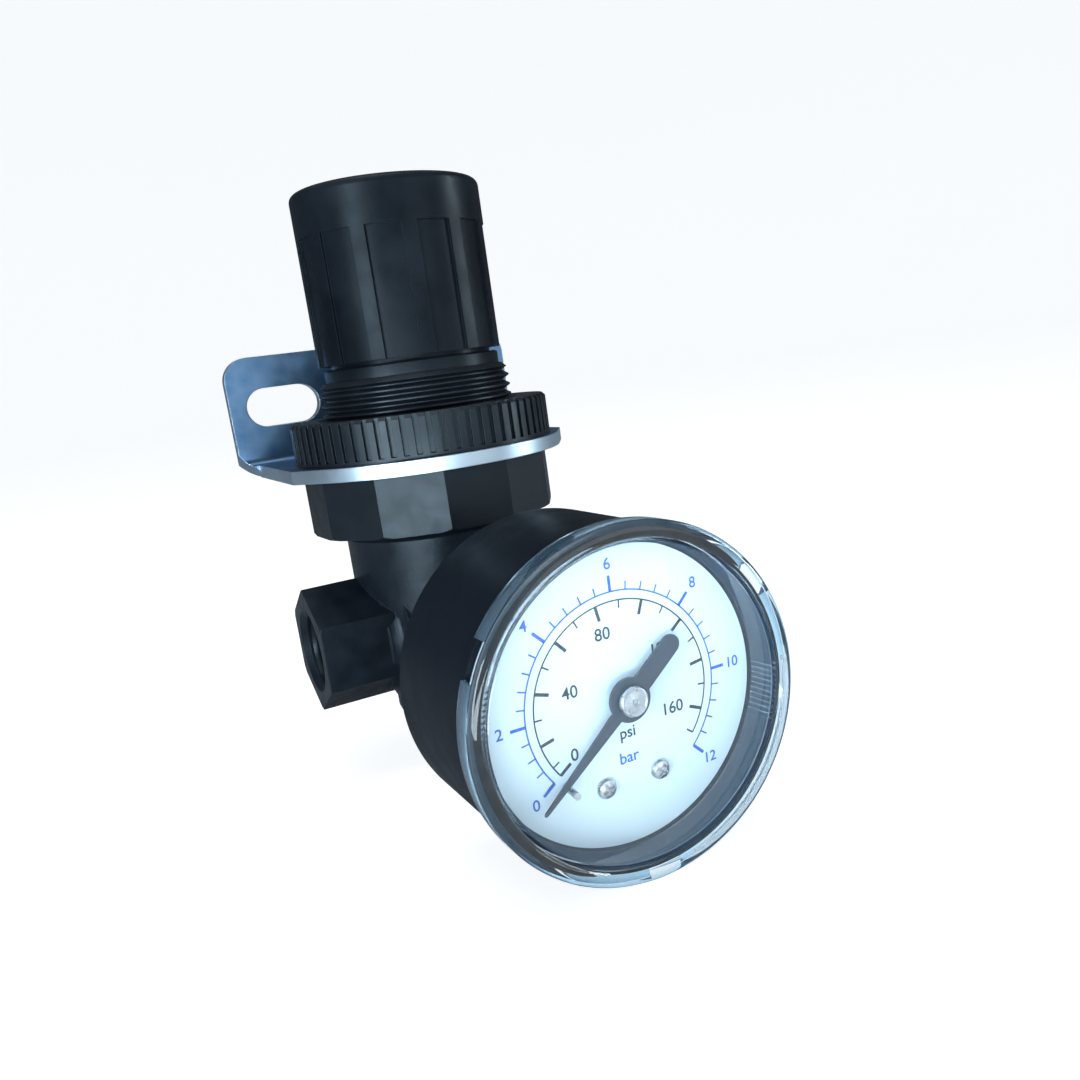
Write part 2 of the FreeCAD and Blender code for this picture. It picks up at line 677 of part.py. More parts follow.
# ---------------------------------------------------------------- gauge housing
def make_gauge_socket():
    """Brass connection: thread, spanner hexagon, and the block that feeds the tube."""
    thread = rod(GAUGE_PORT_R - RUN, 16.2, 24.5)
    flange = hexagon(12.0, FRONT_BOSS_Y + 0.6, CASE_BACK - 0.02)
    neck = rod(4.8, CASE_BACK - 1, CASE_BACK + CASE_WALL + 1)
    core = block(-4.4, 4.4, -17.2, 5.0, CASE_BACK + CASE_WALL + 0.02, 40.2)
    root = block(-3.6, 3.6, -17.2, -12.0, 40.0, BACK_PLATE[0])
    socket = merged([thread, flange, neck, core, root])
    bore = rod(1.2, 15, 38.6)
    feed = Part.makeCylinder(1.0, 16.0, Vector(0, 0, 38.4), Vector(0, -1, 0))
    rise = rod(0.9, 37.6, 43.0, 0, -14.6)
    return to_gauge(socket.cut(bore).cut(feed).cut(rise))


def make_gauge_case():
    """A deep cup with three bayonet lugs for the window."""
    inner = CASE_R - CASE_WALL
    case = turned([
        (4.9, CASE_BACK),
        (CASE_R - 1.2, CASE_BACK),
        (CASE_R - 0.35, CASE_BACK + 0.35),
        (CASE_R, CASE_BACK + 1.2),
        (CASE_R, CASE_FRONT - 2.4),
        (CASE_R - 0.4, CASE_FRONT - 2.2),
        (CASE_R - 0.4, CASE_FRONT),
        (inner, CASE_FRONT),
        (inner, CASE_BACK + CASE_WALL),
        (4.9, CASE_BACK + CASE_WALL),
    ])
    return to_gauge(case)


def make_window_gasket():
    inner = CASE_R - CASE_WALL
    return to_gauge(ring(CASE_R - 0.42, inner + 0.1, CASE_FRONT + 0.01, CASE_FRONT + 0.5))


def make_gauge_window():
    """A clear cap: a skirt over the case, another inside it, and a flat pane."""
    pane_back = WINDOW_FRONT - 1.6
    window = turned([
        (CASE_R + 0.05, WINDOW_BACK),
        (WINDOW_R, WINDOW_BACK),
        (WINDOW_R, WINDOW_FRONT - 1.0),
        (WINDOW_R - 0.35, WINDOW_FRONT - 0.3),
        (WINDOW_R - 1.1, WINDOW_FRONT),
        (19.9, WINDOW_FRONT),
        (19.3, WINDOW_FRONT - 0.5),
        (0, WINDOW_FRONT - 0.5),
        (0, pane_back),
        (WINDOW_SKIRT_R, pane_back),
        (WINDOW_SKIRT_R, WINDOW_SKIRT_BACK),
        (WINDOW_SKIRT_R + 0.55, WINDOW_SKIRT_BACK),
        (WINDOW_SKIRT_R + 0.55, pane_back + 0.12),
        (CASE_R + 0.05, pane_back + 0.12),
    ])
    notch = sector_block(CASE_R - 1, WINDOW_R + 1, NOTCH_ANGLE, WINDOW_BACK - 1, WINDOW_BACK + NOTCH_DEPTH)
    notches = around(notch, 3, NOTCH_AT)
    window = window.cut(notches[0].multiFuse(notches[1:]))
    return to_gauge(window)


# ---------------------------------------------------------------- dial and pointer
def make_gauge_dial():
    dial = ring(DIAL_R, 1.5, DIAL_FACE - DIAL_T, DIAL_FACE)
    holes = [rod(0.75, DIAL_FACE - 1, DIAL_FACE + 1, x, y) for x, y in dial_screw_places()]
    pin_at = polar(STOP_PIN_R_AT, STOP_PIN_ANGLE)
    holes.append(rod(STOP_PIN_R + 0.01, DIAL_FACE - 1, DIAL_FACE + 1, pin_at.x, pin_at.y))
    return to_gauge(dial.cut(holes[0].multiFuse(holes[1:])))


def dial_screw_places():
    return [(-DIAL_SCREW_X, DIAL_SCREW_Y), (DIAL_SCREW_X, DIAL_SCREW_Y)]


def make_dial_screws():
    """Two cross-head screws that hold the dial to the movement."""
    screws = []
    for x, y in dial_screw_places():
        head = turned([
            (0, DIAL_FACE),
            (DIAL_SCREW_HEAD_R, DIAL_FACE),
            (DIAL_SCREW_HEAD_R, DIAL_FACE + 0.3),
            (DIAL_SCREW_HEAD_R - 0.2, DIAL_FACE + 0.6),
            (0.6, DIAL_FACE + 0.8),
            (0, DIAL_FACE + 0.84),
        ])
        shank = rod(0.7, DIAL_FACE - 2.6, DIAL_FACE + 0.1)
        arm = block(-0.8, 0.8, -0.2, 0.2, DIAL_FACE + 0.3, DIAL_FACE + 1)
        screw = merged([head, shank]).cut(arm.fuse(around(arm, 2, 90)[0]))
        screw.rotate(ORIGIN, Z, 25 if x < 0 else 60)
        screw.translate(Vector(x, y, 0))
        screws.append(screw)
    return to_gauge(Part.makeCompound(screws))


def make_stop_pin():
    at = polar(STOP_PIN_R_AT, STOP_PIN_ANGLE)
    pin = rod(STOP_PIN_R, DIAL_FACE - 1.4, DIAL_FACE + STOP_PIN_RISE, at.x, at.y)
    return to_gauge(pin)


def make_pointer():
    """Tapered hand with a wide round tail, on its own hub."""
    z0 = POINTER_DEPTH
    tip, tail = 16.6, 8.2
    blade = face_of([
        Vector(-1.2, -0.95, z0),
        Vector(tip - 0.3, -0.18, z0),
        Vector(tip, 0, z0),
        Vector(tip - 0.3, 0.18, z0),
        Vector(-1.2, 0.95, z0),
    ]).extrude(Vector(0, 0, POINTER_T))
    bar = block(-tail, -1, -1.25, 1.25, z0, z0 + POINTER_T)
    tail_end = rod(1.25, z0, z0 + POINTER_T, -tail, 0)
    boss = rod(POINTER_BOSS_R, z0, z0 + POINTER_T)
    hub = rod(1.55, z0 - 0.7, z0 + 0.8)
    pointer = merged([blade, bar, tail_end, boss, hub]).cut(rod(0.81, z0 - 2, z0 + 2))
    pointer.rotate(ORIGIN, Z, POINTER_ANGLE)
    return to_gauge(pointer)


def make_pointer_cap():
    z0 = POINTER_DEPTH + 0.81
    cap = turned([
        (0, z0),
        (POINTER_CAP_R, z0),
        (POINTER_CAP_R, z0 + 0.45),
        (POINTER_CAP_R - 0.3, z0 + 0.75),
        (0.35, z0 + 0.75),
        (0.35, z0 + 0.45),
        (0, z0 + 0.45),
    ])
    return to_gauge(cap)


# ---------------------------------------------------------------- gauge movement
def sector_middle():
    """Angle from tooth 0 to the middle of the toothed rim."""
    return 360 / (PINION_TEETH * SECTOR_RATIO) * (SECTOR_FIRST + SECTOR_LAST) / 2


def sector_pivot():
    return polar(PINION_R + SECTOR_R, SECTOR_AT)


def gear_outline(pitch_r, teeth_on_circle, first, last, root_r):
    """Straight-flanked teeth, thinned so that they never bind."""
    pitch_angle = 360 / teeth_on_circle
    add, ded = 0.7 * GEAR_MODULE, 1.05 * GEAR_MODULE
    points = []
    for i in range(first, last + 1):
        middle = pitch_angle * i
        for offset, radius in ((-0.30, -ded), (-0.12, add), (0.12, add), (0.30, -ded)):
            points.append(polar(pitch_r + radius, middle + pitch_angle * offset))
    if root_r is not None:
        points.append(polar(root_r, pitch_angle * last + 2))
        points.append(polar(root_r, pitch_angle * first - 2))
    return points


def make_pinion_shaft():
    pinion = face_of(gear_outline(PINION_R, PINION_TEETH, 0, PINION_TEETH - 1, None))
    pinion.translate(Vector(0, 0, GEAR_BACK - 0.4))
    pinion = pinion.extrude(Vector(0, 0, GEAR_FRONT - GEAR_BACK + 0.8))
    # a tooth gap faces the sector at rest
    pinion.rotate(ORIGIN, Z, SECTOR_AT + 180 / PINION_TEETH)
    arbor = rod(ARBOR_R, BACK_PLATE[0] + 0.1, GEAR_FRONT)
    front = rod(ARBOR_R, GEAR_FRONT, POINTER_DEPTH - 1.0)
    nose = rod(0.80, POINTER_DEPTH - 1.0, POINTER_DEPTH + 0.8)
    return to_gauge(merged([arbor, pinion, front, nose]))


def make_sector_gear():
    """Toothed sector with the short tail that the link pulls."""
    outline = gear_outline(SECTOR_R, PINION_TEETH * SECTOR_RATIO, SECTOR_FIRST, SECTOR_LAST, SECTOR_R - 1.6)
    rim = face_of(outline)
    rim.translate(Vector(0, 0, GEAR_BACK))
    rim = rim.extrude(Vector(0, 0, GEAR_FRONT - GEAR_BACK))
    middle = sector_middle()
    arm = block(0, SECTOR_R - 1.2, -0.9, 0.9, GEAR_BACK, GEAR_FRONT)
    arm.rotate(ORIGIN, Z, middle)
    tail = block(0, TAIL_LENGTH + 0.7, -0.8, 0.8, GEAR_BACK, GEAR_FRONT)
    tail.rotate(ORIGIN, Z, middle - TAIL_FROM_MIDDLE)
    hub = rod(1.5, GEAR_BACK - 0.5, GEAR_FRONT + 0.3)
    arbor = rod(ARBOR_R, BACK_PLATE[0] + 0.1, FRONT_PLATE[1] - 0.1)
    sector = merged([rim, arm, tail, hub, arbor])
    # tooth number 0 points at the pinion
    sector.rotate(ORIGIN, Z, SECTOR_AT + 180)
    sector.translate(sector_pivot())
    return to_gauge(sector)


def movement_plate(z0, z1):
    pivot = sector_pivot()
    outline = rod(5.4, z0, z1)
    reach = rod(3.4, z0, z1, pivot.x, pivot.y)
    bridge = block(0, pivot.Length, -3.2, 3.2, z0, z1)
    bridge.rotate(ORIGIN, Z, SECTOR_AT)
    foot = block(-6.2, 6.2, -14.6, -8.4, z0, z1)
    plate = merged([outline, reach, bridge, foot])
    holes = [rod(ARBOR_R + RUN, z0 - 1, z1 + 1), rod(ARBOR_R + RUN, z0 - 1, z1 + 1, pivot.x, pivot.y)]
    return plate.cut(holes[0].fuse(holes[1]))


def make_movement_back_plate():
    return to_gauge(movement_plate(*BACK_PLATE))


def make_movement_front_plate():
    plate = movement_plate(*FRONT_PLATE)
    screw_holes = [rod(0.75, 50, 56, x, y) for x, y in dial_screw_places()]
    return to_gauge(plate.cut(screw_holes[0].fuse(screw_holes[1])))


def make_movement_pillars():
    pillars = [rod(0.9, BACK_PLATE[1], FRONT_PLATE[0], x, y) for x, y in PILLARS]
    return to_gauge(Part.makeCompound(pillars))


def make_bourdon_tube():
    """Flat brass tube bent to most of a circle."""
    z0, z1, wall = 41.2, 46.4, 0.7
    section = Part.makePolygon([
        Vector(TUBE_MEAN_R - wall, 0, z0 + 0.6),
        Vector(TUBE_MEAN_R, 0, z0),
        Vector(TUBE_MEAN_R + wall, 0, z0 + 0.6),
        Vector(TUBE_MEAN_R + wall, 0, z1 - 0.6),
        Vector(TUBE_MEAN_R, 0, z1),
        Vector(TUBE_MEAN_R - wall, 0, z1 - 0.6),
        Vector(TUBE_MEAN_R - wall, 0, z0 + 0.6),
    ])
    tube = Part.Face(section).revolve(ORIGIN, Z, TUBE_TIP_ANGLE - TUBE_ROOT_ANGLE)
    tube.rotate(ORIGIN, Z, TUBE_ROOT_ANGLE)
    return to_gauge(tube)


def link_far_end():
    return polar(TUBE_MEAN_R - 2.4, TUBE_TIP_ANGLE - 4.5)


def make_tube_tip():
    """Closes the tube's end, with a tab and a pin for the link."""
    cap = sector_block(TUBE_MEAN_R - 1.4, TUBE_MEAN_R + 1.4, 9, 41.0, 46.8, TUBE_TIP_ANGLE - 4.5)
    tab = sector_block(TUBE_MEAN_R - 3.6, TUBE_MEAN_R + 0.4, 9, 46.7, 47.9, TUBE_TIP_ANGLE - 4.5)
    at = link_far_end()
    pin = rod(0.5, 47.8, LINK_BACK, at.x, at.y)
    return to_gauge(merged([cap, tab, pin]))


def make_hairspring():
    """Flat spiral that takes up the gears' backlash; its outer end is held by a pillar."""
    pillar_x, pillar_y = PILLARS[1]
    turns = 4 + math.degrees(math.atan2(pillar_y, pillar_x)) / 360
    inner, outer = 1.2, math.hypot(pillar_x, pillar_y) - 0.85
    thick = 0.12
    count = 60

    def spiral(offset):
        points = []
        for i in range(count + 1):
            part = i / count
            points.append(polar(inner + (outer - inner) * part + offset, 360 * turns * part, HAIRSPRING_BACK))
        return points

    side_a = Part.BSplineCurve()
    side_a.interpolate(spiral(-thick / 2))
    side_b = Part.BSplineCurve()
    side_b.interpolate(spiral(thick / 2))
    edge_a, edge_b = side_a.toShape(), side_b.toShape()
    end_cap = Part.makeLine(side_a.EndPoint, side_b.EndPoint)
    start_cap = Part.makeLine(side_b.StartPoint, side_a.StartPoint)
    face = Part.Face(Part.Wire([edge_a, end_cap, edge_b, start_cap]))
    return to_gauge(face.extrude(Vector(0, 0, 0.6)))


def make_link():
    """Joins the tube's tip to the sector's tail; it lies beside both."""
    tail_angle = SECTOR_AT + 180 + sector_middle() - TAIL_FROM_MIDDLE
    start = sector_pivot() + polar(TAIL_LENGTH, tail_angle)
    end = link_far_end()
    run = end - start
    z0, z1 = LINK_BACK, LINK_BACK + LINK_T
    bar = block(0, run.Length, -0.7, 0.7, z0, z1)
    bar.rotate(ORIGIN, Z, math.degrees(math.atan2(run.y, run.x)))
    bar.translate(start)
    ends = [rod(1.1, z0, z1, start.x, start.y), rod(1.1, z0, z1, end.x, end.y)]
    pin = rod(0.5, z1 - 0.1, GEAR_BACK, start.x, start.y)
    return to_gauge(merged([bar, pin] + ends))


# ---------------------------------------------------------------- nodes
NODES = {
    "body": make_body,
    "rear_port_plug": make_rear_port_plug,
    "valve_seat": make_valve_seat,
    "valve_poppet": make_valve_poppet,
    "valve_seal": make_valve_seal,
    "valve_spring": make_valve_spring,
    "bottom_plug": make_bottom_plug,
    "plug_seal": make_plug_seal,
    "diaphragm": make_diaphragm,
    "diaphragm_plate": make_diaphragm_plate,
    "relief_seat": make_relief_seat,
    "main_spring": make_main_spring,
    "spring_seat": make_spring_seat,
    "bonnet": make_bonnet,
    "adjusting_screw": make_adjusting_screw,
    "thrust_washer": make_thrust_washer,
    "screw_clip": make_screw_clip,
    "knob": make_knob,
    "panel_nut": make_panel_nut,
    "mounting_bracket": make_mounting_bracket,
    "gauge_socket": make_gauge_socket,
    "gauge_case": make_gauge_case,
    "window_gasket": make_window_gasket,
    "gauge_window": make_gauge_window,
    "gauge_dial": make_gauge_dial,
    "dial_screws": make_dial_screws,
    "stop_pin": make_stop_pin,
    "pointer": make_pointer,
    "pointer_cap": make_pointer_cap,
    "pinion_shaft": make_pinion_shaft,
    "sector_gear": make_sector_gear,
    "movement_back_plate": make_movement_back_plate,
    "movement_front_plate": make_movement_front_plate,
    "movement_pillars": make_movement_pillars,
    "bourdon_tube": make_bourdon_tube,
    "tube_tip": make_tube_tip,
    "hairspring": make_hairspring,
    "link": make_link,
}

os.makedirs("parts", exist_ok=True)
for name, make in NODES.items():
    shape = make()
    shape.translate(TO_MOUNT)
    print(name, len(shape.Solids), shape.isValid(), round(shape.Volume, 1))
    shape.exportStep("parts/" + name + ".step")
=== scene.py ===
import bpy
import json
import math

from mathutils import Matrix, Quaternion, Vector


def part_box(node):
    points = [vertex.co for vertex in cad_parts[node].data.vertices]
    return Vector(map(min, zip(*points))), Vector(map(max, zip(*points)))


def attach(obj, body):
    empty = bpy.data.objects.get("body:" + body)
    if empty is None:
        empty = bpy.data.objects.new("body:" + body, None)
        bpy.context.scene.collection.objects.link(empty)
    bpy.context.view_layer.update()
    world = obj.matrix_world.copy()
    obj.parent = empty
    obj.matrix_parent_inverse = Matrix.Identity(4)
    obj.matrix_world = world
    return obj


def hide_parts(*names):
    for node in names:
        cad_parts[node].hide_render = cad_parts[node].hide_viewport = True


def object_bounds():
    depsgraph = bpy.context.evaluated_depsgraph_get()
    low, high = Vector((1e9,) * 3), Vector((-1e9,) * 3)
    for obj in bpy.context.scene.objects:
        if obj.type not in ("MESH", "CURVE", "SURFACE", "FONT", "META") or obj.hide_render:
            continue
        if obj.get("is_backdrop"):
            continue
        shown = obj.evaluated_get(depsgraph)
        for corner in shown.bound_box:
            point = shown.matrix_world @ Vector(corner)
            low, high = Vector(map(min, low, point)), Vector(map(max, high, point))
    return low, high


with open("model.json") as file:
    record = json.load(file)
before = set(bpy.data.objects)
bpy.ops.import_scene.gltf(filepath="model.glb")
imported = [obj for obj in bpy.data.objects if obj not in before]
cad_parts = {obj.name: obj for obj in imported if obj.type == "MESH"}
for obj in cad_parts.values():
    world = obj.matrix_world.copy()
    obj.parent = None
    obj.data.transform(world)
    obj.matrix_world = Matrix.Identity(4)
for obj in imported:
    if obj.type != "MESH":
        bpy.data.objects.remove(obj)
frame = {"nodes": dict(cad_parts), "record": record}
cad_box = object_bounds()

# The air pressure regulator's looks.  Everything is in metres in the CAD's frame:
# Z runs up the knob's axis, the gauge faces -Y and the ports lie along X.
MM = 0.001

# ---------------------------------------------------------------- places
knob_low, knob_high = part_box("knob")
AXIS_Y = (knob_low.y + knob_high.y) / 2
dial_low, dial_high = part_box("gauge_dial")
GAUGE_Z = (dial_low.z + dial_high.z) / 2
DIAL_FACE_Y = dial_low.y
WINDOW_FRONT_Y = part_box("gauge_window")[0].y
PANE_R = 19.3               # mm, of the window's flat middle
bracket_low, bracket_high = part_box("mounting_bracket")
FLANGE_FOOT_Z = bracket_low.z + 5 * MM
LOBE_END_Y = bracket_high.y - 5 * MM


# ---------------------------------------------------------------- node helpers
class Shader:
    """A material whose nodes are made and joined in short calls."""

    def __init__(self, name):
        self.material = bpy.data.materials.new(name)
        self.material.use_nodes = True
        self.tree = self.material.node_tree
        self.nodes = self.tree.nodes
        self.bsdf = self.nodes["Principled BSDF"]
        self.output = self.nodes["Material Output"]
        self.place = self.nodes.new("ShaderNodeTexCoord").outputs["Object"]

    def link(self, out, into):
        self.tree.links.new(out, into)

    def set(self, **values):
        for name, value in values.items():
            self.bsdf.inputs[name.replace("_", " ")].default_value = value

    def stretched(self, scale):
        mapping = self.nodes.new("ShaderNodeMapping")
        mapping.inputs["Scale"].default_value = scale
        self.link(self.place, mapping.inputs["Vector"])
        return mapping.outputs["Vector"]

    def noise(self, size, detail=3.0, roughness=0.5, vector=None):
        """Noise whose features are about as large as size, in metres."""
        node = self.nodes.new("ShaderNodeTexNoise")
        node.inputs["Scale"].default_value = 1 / size
        node.inputs["Detail"].default_value = detail
        node.inputs["Roughness"].default_value = roughness
        self.link(vector or self.place, node.inputs["Vector"])
        return node.outputs["Fac"]

    def cells(self, size):
        node = self.nodes.new("ShaderNodeTexVoronoi")
        node.inputs["Scale"].default_value = 1 / size
        self.link(self.place, node.inputs["Vector"])
        return node.outputs["Distance"]

    def ramp(self, value, low, high, from_low=0.0, from_high=1.0):
        """Maps a value's range to another range, clamped."""
        node = self.nodes.new("ShaderNodeMapRange")
        node.inputs["From Min"].default_value = from_low
        node.inputs["From Max"].default_value = from_high
        node.inputs["To Min"].default_value = low
        node.inputs["To Max"].default_value = high
        self.link(value, node.inputs["Value"])
        return node.outputs["Result"]

    def math(self, operation, a, b):
        node = self.nodes.new("ShaderNodeMath")
        node.operation = operation
        for socket, value in zip(node.inputs, (a, b)):
            if isinstance(value, (int, float)):
                socket.default_value = value
            else:
                self.link(value, socket)
        return node.outputs["Value"]

    def mix(self, factor, colour_a, colour_b):
        node = self.nodes.new("ShaderNodeMix")
        node.data_type = "RGBA"
        factor_in, a_in, b_in = node.inputs[0], node.inputs[6], node.inputs[7]
        self.link(factor, factor_in)
        for socket, value in ((a_in, colour_a), (b_in, colour_b)):
            if isinstance(value, tuple):
                socket.default_value = (*value, 1.0)
            else:
                self.link(value, socket)
        return node.outputs[2]

    def bump(self, height, distance, strength=1.0, normal=None):
        node = self.nodes.new("ShaderNodeBump")
        node.inputs["Strength"].default_value = strength
        node.inputs["Distance"].default_value = distance
        self.link(height, node.inputs["Height"])
        if normal is not None:
            self.link(normal, node.inputs["Normal"])
        return node.outputs["Normal"]

    def rounded(self, radius):
        """A normal that rounds sharp edges by a radius."""
        node = self.nodes.new("ShaderNodeBevel")
        node.samples = 4
        node.inputs["Radius"].default_value = radius
        return node.outputs["Normal"]

    def edges(self, rounded_normal, low=0.02, high=0.3):
        """One along sharp edges and nought elsewhere."""
        geometry = self.nodes.new("ShaderNodeNewGeometry")
        dot = self.nodes.new("ShaderNodeVectorMath")
        dot.operation = "DOT_PRODUCT"
        self.link(rounded_normal, dot.inputs[0])
        self.link(geometry.outputs["Normal"], dot.inputs[1])
        away = self.math("SUBTRACT", 1.0, dot.outputs["Value"])
        return self.ramp(away, 0.0, 1.0, low, high)

    def finish(self, colour=None, roughness=None, normal=None):
        if colour is not None:
            self.link(colour, self.bsdf.inputs["Base Color"])
        if roughness is not None:
            self.link(roughness, self.bsdf.inputs["Roughness"])
        if normal is not None:
            self.link(normal, self.bsdf.inputs["Normal"])
        return self.material


# ---------------------------------------------------------------- materials
BLUE_SHEEN = (0.72, 0.90, 1.0, 1.0)


def moulded_plastic(name, dark, light, grain=0.35 * MM, roughness=(0.30, 0.44)):
    """Black plastic with a fine eroded grain, rubbed a little lighter at its edges."""
    s = Shader(name)
    rounded = s.rounded(0.12 * MM)
    worn = s.math("MULTIPLY", s.edges(rounded), s.noise(1.3 * MM, 4.0))
    cloud = s.noise(9 * MM, 4.0)
    colour = s.mix(s.ramp(cloud, 0, 1, 0.35, 0.65), dark, light)
    colour = s.mix(s.ramp(worn, 0, 0.45), colour, (0.060, 0.075, 0.095))
    smears = s.noise(4 * MM, 5.0, 0.6)
    rough = s.ramp(smears, roughness[0], roughness[1], 0.3, 0.7)
    fine = s.bump(s.noise(grain, 2.0), 0.012 * MM, 0.55, rounded)
    place = s.nodes.new("ShaderNodeSeparateXYZ")
    s.link(s.place, place.inputs["Vector"])
    handled = s.ramp(place.outputs["Z"], 0.46, 0.17, -1 * MM, 4 * MM)
    s.link(handled, s.bsdf.inputs["Specular IOR Level"])
    s.set(Specular_Tint=BLUE_SHEEN)
    return s.finish(colour, rough, fine)


def cast_coating(name, dark, light):
    """Baked paint over a die casting: soft waves under a fine orange peel."""
    s = Shader(name)
    rounded = s.rounded(0.25 * MM)
    worn = s.math("MULTIPLY", s.edges(rounded), s.noise(1.0 * MM, 5.0, 0.7))
    colour = s.mix(s.ramp(s.noise(6 * MM, 5.0), 0, 1, 0.3, 0.7), dark, light)
    colour = s.mix(s.ramp(worn, 0, 0.4), colour, (0.085, 0.105, 0.13))
    rough = s.ramp(s.noise(3 * MM, 5.0), 0.30, 0.46, 0.3, 0.7)
    peel = s.bump(s.noise(0.7 * MM, 3.0), 0.03 * MM, 0.6, rounded)
    waves = s.bump(s.noise(5 * MM, 2.0), 0.12 * MM, 0.4, peel)
    s.set(Specular_IOR_Level=0.36, Specular_Tint=BLUE_SHEEN)
    return s.finish(colour, rough, waves)


def case_paint(name):
    """Semi-gloss enamel on the gauge's drawn case."""
    s = Shader(name)
    rounded = s.rounded(0.2 * MM)
    dust = s.ramp(s.noise(0.25 * MM, 2.0), 0, 1, 0.72, 0.82)
    colour = s.mix(s.ramp(s.noise(11 * MM, 3.0), 0, 1), (0.005, 0.008, 0.013), (0.010, 0.014, 0.021))
    colour = s.mix(s.math("MULTIPLY", dust, 0.05), colour, (0.08, 0.10, 0.12))
    rough = s.ramp(s.noise(5 * MM, 4.0), 0.34, 0.44, 0.3, 0.7)
    peel = s.bump(s.noise(0.9 * MM, 2.0), 0.005 * MM, 0.4, rounded)
    s.set(Specular_IOR_Level=0.10, Specular_Tint=BLUE_SHEEN)
    return s.finish(colour, rough, peel)


def cut_edges(s):
    """One on the bracket's sheared edges, nought on the faces of its sheet."""
    place = s.nodes.new("ShaderNodeSeparateXYZ")
    s.link(s.place, place.inputs["Vector"])
    geometry = s.nodes.new("ShaderNodeNewGeometry")
    normal = s.nodes.new("ShaderNodeSeparateXYZ")
    s.link(geometry.outputs["Normal"], normal.inputs["Vector"])
    normal_x, normal_y, normal_z = (s.math("ABSOLUTE", out, 0) for out in normal.outputs)
    in_flange = s.math("GREATER_THAN", place.outputs["Z"], FLANGE_FOOT_Z)
    in_bend = s.math("GREATER_THAN", place.outputs["Y"], LOBE_END_Y)
    bent_face = s.math("SUBTRACT", 1.0, s.math("MULTIPLY", normal_x, normal_x))
    lobe_face = choose(s, in_bend, normal_z, bent_face)
    face = choose(s, in_flange, lobe_face, normal_y)
    return s.ramp(face, 1.0, 0.0, 0.25, 0.75)


def choose(s, switch, when_off, when_on):
    on = s.math("MULTIPLY", switch, when_on)
    off = s.math("MULTIPLY", s.math("SUBTRACT", 1.0, switch), when_off)
    return s.math("ADD", on, off)


def zinc_plate(name):
    """Blue-passivated zinc on rolled sheet: drawn grain, faint spangle, brighter cut edges."""
    s = Shader(name)
    rounded = s.rounded(0.22 * MM)
    edge = s.math("MAXIMUM", s.edges(rounded, 0.01, 0.25), cut_edges(s))
    spangle = s.ramp(s.cells(2.6 * MM), 0, 1, 0.0, 0.7)
    cloud = s.ramp(s.noise(8 * MM, 5.0, 0.6), 0, 1, 0.3, 0.7)
    colour = s.mix(cloud, (0.045, 0.13, 0.27), (0.12, 0.25, 0.44))
    colour = s.mix(s.math("MULTIPLY", spangle, 0.2), colour, (0.45, 0.58, 0.70))
    colour = s.mix(edge, colour, (0.62, 0.76, 0.88))
    grain = s.noise(0.10 * MM, 3.0, 0.6, s.stretched((0.06, 1.0, 1.0)))
    rough = s.math("ADD", s.ramp(cloud, 0.30, 0.44), s.ramp(grain, -0.05, 0.07))
    scratched = s.bump(grain, 0.006 * MM, 0.5, rounded)
    s.set(Metallic=1.0)
    return s.finish(colour, rough, scratched)


def turned_metal(name, dark, light, roughness=(0.22, 0.36), ring_axis=1):
    """Machined metal with fine tool rings and a little tarnish."""
    s = Shader(name)
    rounded = s.rounded(0.08 * MM)
    stretch = [1.0, 1.0, 1.0]
    stretch[ring_axis] = 8.0
    rings = s.noise(0.5 * MM, 4.0, 0.6, s.stretched(tuple(stretch)))
    tarnish = s.ramp(s.noise(2.2 * MM, 5.0, 0.6), 0, 1, 0.3, 0.75)
    colour = s.mix(tarnish, light, dark)
    rough = s.ramp(s.noise(0.9 * MM, 4.0), roughness[0], roughness[1], 0.3, 0.7)
    cut = s.bump(rings, 0.008 * MM, 0.5, rounded)
    s.set(Metallic=1.0)
    return s.finish(colour, rough, cut)


def moulded_rubber(name):
    s = Shader(name)
    bloom = s.ramp(s.noise(1.8 * MM, 5.0), 0, 1, 0.4, 0.8)
    colour = s.mix(bloom, (0.012, 0.012, 0.013), (0.045, 0.045, 0.047))
    rough = s.ramp(bloom, 0.6, 0.85)
    return s.finish(colour, rough, s.bump(s.noise(0.2 * MM, 3.0), 0.02 * MM, 0.5))


